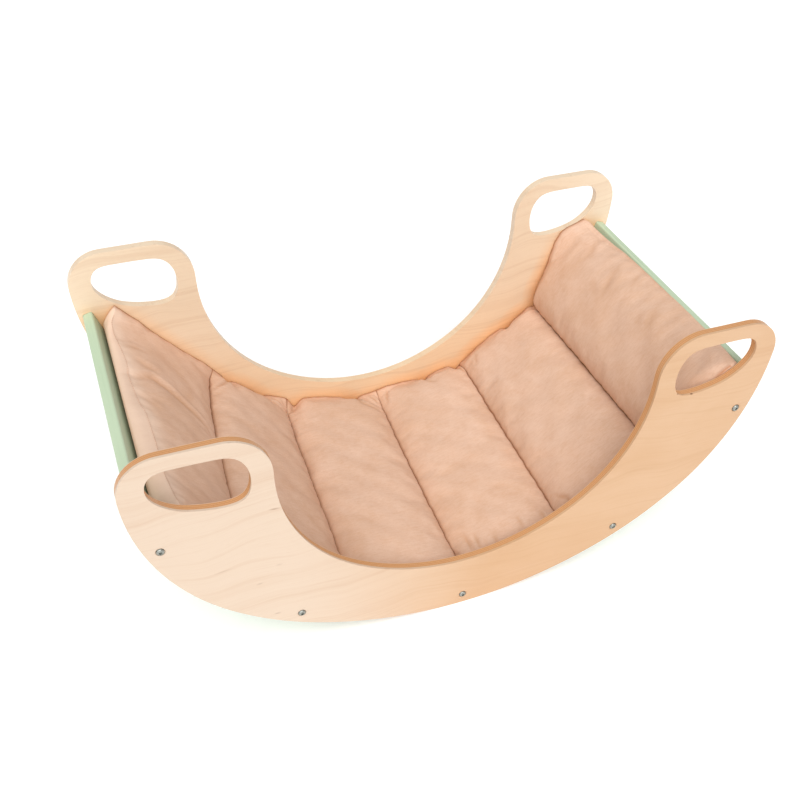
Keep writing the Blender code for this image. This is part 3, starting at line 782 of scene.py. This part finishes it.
class Nodes:
    """A short way to write a material's node tree."""

    def __init__(self, name):
        self.material = bpy.data.materials.new(name)
        self.material.use_nodes = True
        self.tree = self.material.node_tree
        self.shader = self.tree.nodes["Principled BSDF"]
        self.place = self.add("ShaderNodeTexCoord").outputs["Object"]

    def add(self, kind, **settings):
        node = self.tree.nodes.new(kind)
        for key, value in settings.items():
            setattr(node, key, value)
        return node

    def link(self, source, target):
        self.tree.links.new(source, target)

    def put(self, socket, value):
        """Link an output to a socket, or set the socket to a plain value."""
        if isinstance(value, bpy.types.NodeSocket):
            self.link(value, socket)
        else:
            socket.default_value = value

    def set(self, **values):
        """Set or link inputs of the material's shader."""
        names = {
            "color": "Base Color",
            "roughness": "Roughness",
            "metallic": "Metallic",
            "coat": "Coat Weight",
            "coat_roughness": "Coat Roughness",
            "sheen": "Sheen Weight",
            "sheen_roughness": "Sheen Roughness",
            "sheen_tint": "Sheen Tint",
            "specular": "Specular IOR Level",
            "normal": "Normal",
        }
        for key, value in values.items():
            self.put(self.shader.inputs[names[key]], value)

    def scaled(self, x, y, z, place=None):
        """The object's coordinates, or other ones, scaled along each axis."""
        node = self.add("ShaderNodeMapping")
        self.link(place or self.place, node.inputs["Vector"])
        node.inputs["Scale"].default_value = (x, y, z)
        return node.outputs["Vector"]

    def noise(self, place, scale, detail=4.0, roughness=0.55, distortion=0.0):
        """Cloudy pattern between 0 and 1."""
        node = self.add("ShaderNodeTexNoise")
        self.link(place, node.inputs["Vector"])
        node.inputs["Scale"].default_value = scale
        node.inputs["Detail"].default_value = detail
        node.inputs["Roughness"].default_value = roughness
        node.inputs["Distortion"].default_value = distortion
        return node.outputs["Fac"]

    def ramp(self, value, *stops):
        """Colour ramp; a stop is a position and a colour or a grey."""
        node = self.add("ShaderNodeValToRGB")
        self.link(value, node.inputs["Fac"])
        elements = node.color_ramp.elements
        while len(elements) < len(stops):
            elements.new(0.5)
        for element, (position, color) in zip(elements, stops):
            element.position = position
            element.color = color if isinstance(color, tuple) else (color, color, color, 1.0)
        return node.outputs["Color"]

    def math(self, operation, a, b=0.0, clamp=False):
        node = self.add("ShaderNodeMath", operation=operation, use_clamp=clamp)
        self.put(node.inputs[0], a)
        self.put(node.inputs[1], b)
        return node.outputs[0]

    def mix(self, share, a, b):
        """A share of b over a."""
        node = self.add("ShaderNodeMix", data_type="RGBA")
        self.put(node.inputs["Factor"], share)
        self.put(node.inputs["A"], a)
        self.put(node.inputs["B"], b)
        return node.outputs["Result"]

    def tint(self, color, tone, value, start, end, share):
        """Lay up to a share of a tone over a colour, where a value runs from a start to an end."""
        cover = self.math("MULTIPLY", self.ramp(value, (start, 0.0), (end, 1.0)), share)
        return self.mix(cover, color, tone)

    def axis(self, name):
        node = self.add("ShaderNodeSeparateXYZ")
        self.link(self.place, node.inputs[0])
        return node.outputs[name]

    def painted(self, name):
        """Values painted on the points of the mesh."""
        return self.add("ShaderNodeAttribute", attribute_name=name).outputs["Fac"]

    def fade(self, value, ends):
        """Smooth change from 0 to 1 between two values."""
        node = self.add("ShaderNodeMapRange", interpolation_type="SMOOTHSTEP")
        self.link(value, node.inputs["Value"])
        node.inputs["From Min"].default_value = ends[0]
        node.inputs["From Max"].default_value = ends[1]
        return node.outputs["Result"]

    def near(self, reach):
        """How much of the view within a distance is closed off by other surfaces."""
        node = self.add("ShaderNodeAmbientOcclusion", samples=4)
        node.inputs["Distance"].default_value = reach
        return self.math("SUBTRACT", 1.0, node.outputs["AO"])

    def bump(self, height, strength, distance, normal=None):
        node = self.add("ShaderNodeBump")
        self.link(height, node.inputs["Height"])
        node.inputs["Strength"].default_value = strength
        node.inputs["Distance"].default_value = distance
        if normal is not None:
            self.link(normal, node.inputs["Normal"])
        return node.outputs["Normal"]


def panel_layers(n, at_back):
    """Whether a point of a panel lies between its face veneers, in a dark ply and at a glue line."""
    from_inner = n.math("SUBTRACT", n.math("ABSOLUTE", n.axis("Y")), PANEL_INNER_Y * MM)
    layer = n.math("DIVIDE", from_inner, PLY_THICKNESS * MM)
    to_outer = n.math("SUBTRACT", (PANEL_OUTER_Y - PANEL_INNER_Y) / PLY_THICKNESS - OUTER_WRAP, layer)
    # Painted light: on the back panel the pale face tone covers most plies of the cut edges, from the inner
    # side.
    wrap = n.math("ADD", INNER_WRAP, n.math("MULTIPLY", at_back, BACK_WRAP_PAINTED_LIGHT))
    inside = n.math("MINIMUM", to_outer, n.math("SUBTRACT", layer, wrap))
    inside = n.math("MULTIPLY", inside, VENEER_FADE, clamp=True)
    dark = n.math("GREATER_THAN", n.math("MODULO", layer, 2.0), 1.0)
    glue = n.math("LESS_THAN", n.math("PINGPONG", layer, 0.5), GLUE_SHARE)
    return inside, dark, n.math("MULTIPLY", glue, inside)


def wood_marks(n):
    """Small dark streaks and gaps at stated places of the front panel."""
    total = 0.0
    for x, depth, z, length, thickness, width, tilt, strength in WOOD_MARKS:
        node = n.add("ShaderNodeMapping", vector_type="TEXTURE")
        n.link(n.place, node.inputs["Vector"])
        node.inputs["Location"].default_value = (x * MM, (depth - PANEL_OUTER_Y) * MM, z * MM)
        node.inputs["Rotation"].default_value = (0.0, tilt, 0.0)
        node.inputs["Scale"].default_value = (length * MM, thickness * MM, width * MM)
        reach = n.add("ShaderNodeVectorMath", operation="LENGTH")
        n.link(node.outputs["Vector"], reach.inputs[0])
        spot = n.math("SUBTRACT", 1.0, reach.outputs["Value"], clamp=True)
        total = n.math("ADD", total, n.math("MULTIPLY", spot, strength))
    return n.math("MINIMUM", total, 1.0)


def bent_place(n):
    """The object's coordinates, bent up and down a little so that the grain runs in waves."""
    bend = n.noise(n.scaled(1.0, 1.0, 1.0), 4.5, 2.0, 0.5)
    bend = n.math("MULTIPLY", n.math("SUBTRACT", bend, 0.5), 0.09)
    shift = n.add("ShaderNodeCombineXYZ")
    n.link(bend, shift.inputs["Z"])
    bent = n.add("ShaderNodeVectorMath", operation="ADD")
    n.link(n.place, bent.inputs[0])
    n.link(shift.outputs[0], bent.inputs[1])
    return bent.outputs[0]


def veneer_tone_and_painted_light(n, at_back):
    """The face veneer's colour before its grain. Painted light makes the front panel paler at its left end
    and the back panel paler all over; painted warm shade lies low on the back panel and beside the mat.
    """
    cloud = n.noise(n.scaled(4.0, 4.0, 11.0), 1.0, 4.0, 0.55, 0.6)
    front = n.tint(srgb(*BIRCH_PALE), srgb(*BIRCH_WARM), cloud, 0.36, 0.66, 0.8)
    # Painted light: the front panel turns paler towards its left end.
    front = n.mix(n.fade(n.axis("X"), LEFT_LIGHT_SPAN), front, srgb(*BIRCH_LEFT_PAINTED_LIGHT))
    # Painted light and shade: the back panel is paler overall and warmer low down, towards the mat.
    back = n.mix(n.fade(n.axis("Z"), BACK_SHADE_SPAN), srgb(*BIRCH_BACK_PAINTED_LIGHT), srgb(*BIRCH_LOW_PAINTED_SHADE))
    back = n.mix(n.math("MULTIPLY", cloud, 0.3), back, srgb(*BIRCH_PALE))
    # Painted contact shade: warm darkening where the mat closes off the view.
    back = n.mix(n.near(CONTACT_SHADE_REACH), back, srgb(*CONTACT_PAINTED_SHADE))
    return n.mix(at_back, front, back)


def cut_edge(n, dark_ply, glue):
    """The plies' end grain along the cut edges, light and dark in turn, with glue lines between."""
    end_grain = n.noise(n.scaled(900.0, 900.0, 900.0), 1.0, 2.0)
    light_edge = n.mix(end_grain, srgb(*EDGE_LIGHT), srgb(*EDGE_MIDDLE))
    dark_edge = n.mix(end_grain, srgb(*EDGE_MIDDLE), srgb(*EDGE_DARK))
    edge = n.mix(dark_ply, light_edge, dark_edge)
    return n.mix(n.math("MULTIPLY", glue, 0.45), edge, srgb(*EDGE_GLUE))


def plywood():
    """Clear-lacquered birch plywood: veneer grain on the faces and glued plies along the cut edges."""
    n = Nodes("birch_plywood")
    at_back = n.math("GREATER_THAN", n.axis("Y"), 0.0)
    inside, dark_ply, glue = panel_layers(n, at_back)
    bent = bent_place(n)
    lines = n.noise(n.scaled(2.2, 2.2, 130.0, bent), 1.0, 4.0, 0.6, 0.35)
    growth = n.noise(n.scaled(1.6, 1.6, 46.0, bent), 1.0, 3.0, 0.5, 0.2)
    fine = n.noise(n.scaled(16.0, 16.0, 620.0, bent), 1.0, 4.0, 0.6)
    flecks = n.noise(n.scaled(70.0, 70.0, 1100.0, bent), 1.0, 2.0, 0.5)
    face = veneer_tone_and_painted_light(n, at_back)
    for grain, start, end, share in (
        (growth, 0.54, 0.68, 0.1),
        (lines, 0.54, 0.64, 0.13),
        (fine, 0.5, 0.74, 0.1),
        (flecks, 0.64, 0.72, 0.14),
    ):
        face = n.tint(face, srgb(*BIRCH_DARK), grain, start, end, share)
    wood = n.mix(inside, face, cut_edge(n, dark_ply, glue))
    color = n.mix(wood_marks(n), wood, srgb(*EDGE_GLUE))
    rough = n.ramp(fine, (0.3, 0.36), (0.8, 0.48))
    n.set(color=color, roughness=rough, specular=0.4, coat=0.12, coat_roughness=0.3)
    n.set(normal=n.bump(n.mix(0.5, fine, lines), 0.1, 0.0004))
    return n.material


def painted_wood():
    """Sage green satin paint over planed boards: faint grain and roller stipple."""
    n = Nodes("sage_green_paint")
    broad = n.noise(n.scaled(5.0, 1.4, 5.0), 2.0, 3.0, 0.5, 0.5)
    grain = n.noise(n.scaled(160.0, 5.0, 160.0), 1.0, 4.0, 0.55, 0.6)
    stipple = n.noise(n.scaled(1.0, 1.0, 1.0), 900.0, 2.0)
    color = n.mix(broad, srgb(*GREEN_LIGHT), srgb(*GREEN_DEEP))
    color = n.tint(color, srgb(*GREEN_DARK), grain, 0.5, 0.72, 0.22)
    rough = n.ramp(stipple, (0.3, 0.42), (0.7, 0.55))
    n.set(color=color, roughness=rough, specular=0.4)
    n.set(normal=n.bump(stipple, 0.1, 0.0003, n.bump(grain, 0.18, 0.0005)))
    return n.material


def zinc():
    """Dull zinc plating with its faint cloudy crystals."""
    n = Nodes("zinc_plate")
    cloud = n.noise(n.scaled(1.0, 1.0, 1.0), 420.0, 4.0, 0.6)
    color = n.ramp(cloud, (0.3, srgb(*ZINC_DARK)), (0.75, srgb(*ZINC_LIGHT)))
    n.set(color=color, metallic=1.0, roughness=n.ramp(cloud, (0.3, 0.42), (0.8, 0.6)))
    return n.material


def suede():
    """Dusty-rose microsuede: short nap brushed unevenly, with painted shade along the seams, at the rim, on
    the channels' left flanks and in the folds, and painted light over the left corner.
    """
    n = Nodes("microsuede")
    nap = n.noise(n.scaled(1.0, 1.0, 1.0), 11.0, 5.0, 0.62, 0.8)
    patches = n.noise(n.scaled(1.0, 1.0, 1.0), 46.0, 4.0, 0.6, 0.6)
    weft = n.noise(n.scaled(95.0, 520.0, 95.0), 1.0, 3.0, 0.6, 0.4)
    fibre = n.noise(n.scaled(1.0, 1.0, 1.0), 1500.0, 3.0, 0.6)
    weave = n.noise(n.scaled(480.0, 900.0, 480.0), 1.0, 3.0, 0.6)
    deep = srgb(*SUEDE_DEEP_AND_SHADE)
    color = n.tint(srgb(*SUEDE_LIGHT), srgb(*SUEDE_MIDDLE), nap, 0.3, 0.7, 1.0)
    color = n.tint(color, deep, patches, 0.48, 0.68, 0.16)
    color = n.tint(color, deep, weft, 0.4, 0.66, 0.24)
    color = n.tint(color, deep, weave, 0.45, 0.7, 0.2)
    # Painted shade in folds, at the rim and along the seams; painted light over the left corner.
    for name, share, tone in (
        ("fold", 0.65, SUEDE_DEEP_AND_SHADE),
        ("corner_light", 1.0, SUEDE_CORNER_LIGHT),
        ("rim", 0.7, RIM_SHADE),
        ("seam", 0.8, SEAM_SHADE),
    ):
        color = n.mix(n.math("MULTIPLY", n.painted(name), share), color, srgb(*tone))
    n.set(color=color, roughness=0.92, specular=0.12)
    n.set(sheen=0.12, sheen_roughness=0.5, sheen_tint=srgb(*SUEDE_LIGHT))
    n.set(normal=n.bump(fibre, 0.22, 0.0003, n.bump(weft, 0.3, 0.0008)))
    return n.material


def thread(name, color):
    """Matt polyester sewing thread, twisted."""
    n = Nodes(name)
    twist = n.noise(n.scaled(1500.0, 2600.0, 1500.0), 1.0, 2.0, 0.5)
    shaded = n.mix(n.math("MULTIPLY", twist, 0.35), srgb(*color), srgb(*SEAM_SHADE))
    n.set(color=shaded, roughness=0.7, specular=0.25)
    n.set(normal=n.bump(twist, 0.3, 0.0002))
    return n.material


def pale_floor():
    """Smooth white floor that glows a little."""
    n = Nodes("pale_floor")
    speckle = n.noise(n.scaled(1.0, 1.0, 1.0), 40.0, 3.0)
    n.set(color=n.ramp(speckle, (0.3, 0.93), (0.7, 0.95)), roughness=0.7, specular=0.2)
    n.shader.inputs["Emission Color"].default_value = (1.0, 1.0, 1.0, 1.0)
    n.shader.inputs["Emission Strength"].default_value = FLOOR_GLOW
    return n.material


def dress(obj, material):
    """Give an object one material."""
    obj.data.materials.clear()
    obj.data.materials.append(material)


def dress_board(nodes):
    """Finish every CAD node that stays, and smooth the shading of its rounded edges."""
    looks = (
        ("side_panel", plywood(), "birch"),
        ("slat", painted_wood(), "green_paint"),
        (("bolt", "barrel_nut"), zinc(), "zinc"),
    )
    for name, obj in nodes.items():
        for start, material, slot_name in looks:
            if name.startswith(start):
                dress(obj, material)
        obj.data.shade_smooth()
        obj.data.set_sharp_from_angle(angle=math.radians(SMOOTH_ANGLE))


def build_floor():
    """A wide round floor just below the rockers."""
    mesh = bpy.data.meshes.new("studio_floor")
    shape = bmesh.new()
    bmesh.ops.create_circle(shape, cap_ends=True, segments=FLOOR_SIDES, radius=FLOOR_RADIUS)
    shape.to_mesh(mesh)
    shape.free()
    floor = bpy.data.objects.new("studio_floor", mesh)
    floor.location.z = -FLOOR_DROP
    bpy.context.scene.collection.objects.link(floor)
    floor.data.materials.append(pale_floor())


def build_light():
    """An even world, one broad light, and colours shown as they are."""
    world = bpy.data.worlds.new("studio")
    world.use_nodes = True
    background = world.node_tree.nodes["Background"]
    background.inputs["Color"].default_value = WORLD_COLOR
    background.inputs["Strength"].default_value = WORLD_STRENGTH
    bpy.context.scene.world = world
    light = bpy.data.lights.new("studio_light", "SUN")
    light.energy = LIGHT_STRENGTH
    light.angle = math.radians(LIGHT_SPREAD)
    light.color = LIGHT_COLOR
    lamp = bpy.data.objects.new("studio_light", light)
    lamp.location = LIGHT_DIRECTION
    lamp.rotation_euler = Vector(LIGHT_DIRECTION).to_track_quat("Z", "Y").to_euler()
    bpy.context.scene.collection.objects.link(lamp)
    view = bpy.context.scene.view_settings
    view.view_transform = "Standard"
    view.look = "None"


def build_camera():
    """The photograph's camera."""
    camera = bpy.data.cameras.new("photo_camera")
    camera.sensor_width = SENSOR_MM
    camera.sensor_fit = "HORIZONTAL"
    camera.lens = FOCAL_LENGTH_PX * SENSOR_MM / IMAGE_PX
    camera.shift_x = 0.5 - OPTICAL_CENTRE_PX[0] / IMAGE_PX
    camera.shift_y = OPTICAL_CENTRE_PX[1] / IMAGE_PX - 0.5
    camera.clip_start, camera.clip_end = CAMERA_CLIP
    eye = bpy.data.objects.new("photo_camera", camera)
    bpy.context.scene.collection.objects.link(eye)
    right = Vector(CAMERA_RIGHT).normalized()
    back = -Vector(CAMERA_FORWARD).normalized()
    up = back.cross(right).normalized()
    right = up.cross(back)
    place = Matrix((right, up, back)).transposed().to_4x4()
    place.translation = CAMERA_PLACE
    eye.matrix_world = place
    bpy.context.scene.camera = eye


def main():
    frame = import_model()
    dress_board(frame["nodes"])
    mat, corner, seams = build_mat()
    dress(mat, suede())
    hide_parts("quilted_mat")
    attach(mat, "mat")
    # The quilting thread's dark colour is painted shade in the seams' grooves.
    threads = (("corner_thread", [corner], THREAD_PALE), ("quilting_thread", seams, THREAD_GROOVE_SHADE))
    for name, lines, color in threads:
        stitches = build_stitches(name, lines)
        dress(stitches, thread(name, color))
        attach(stitches, "mat")
    build_floor()
    build_light()
    build_camera()


main()
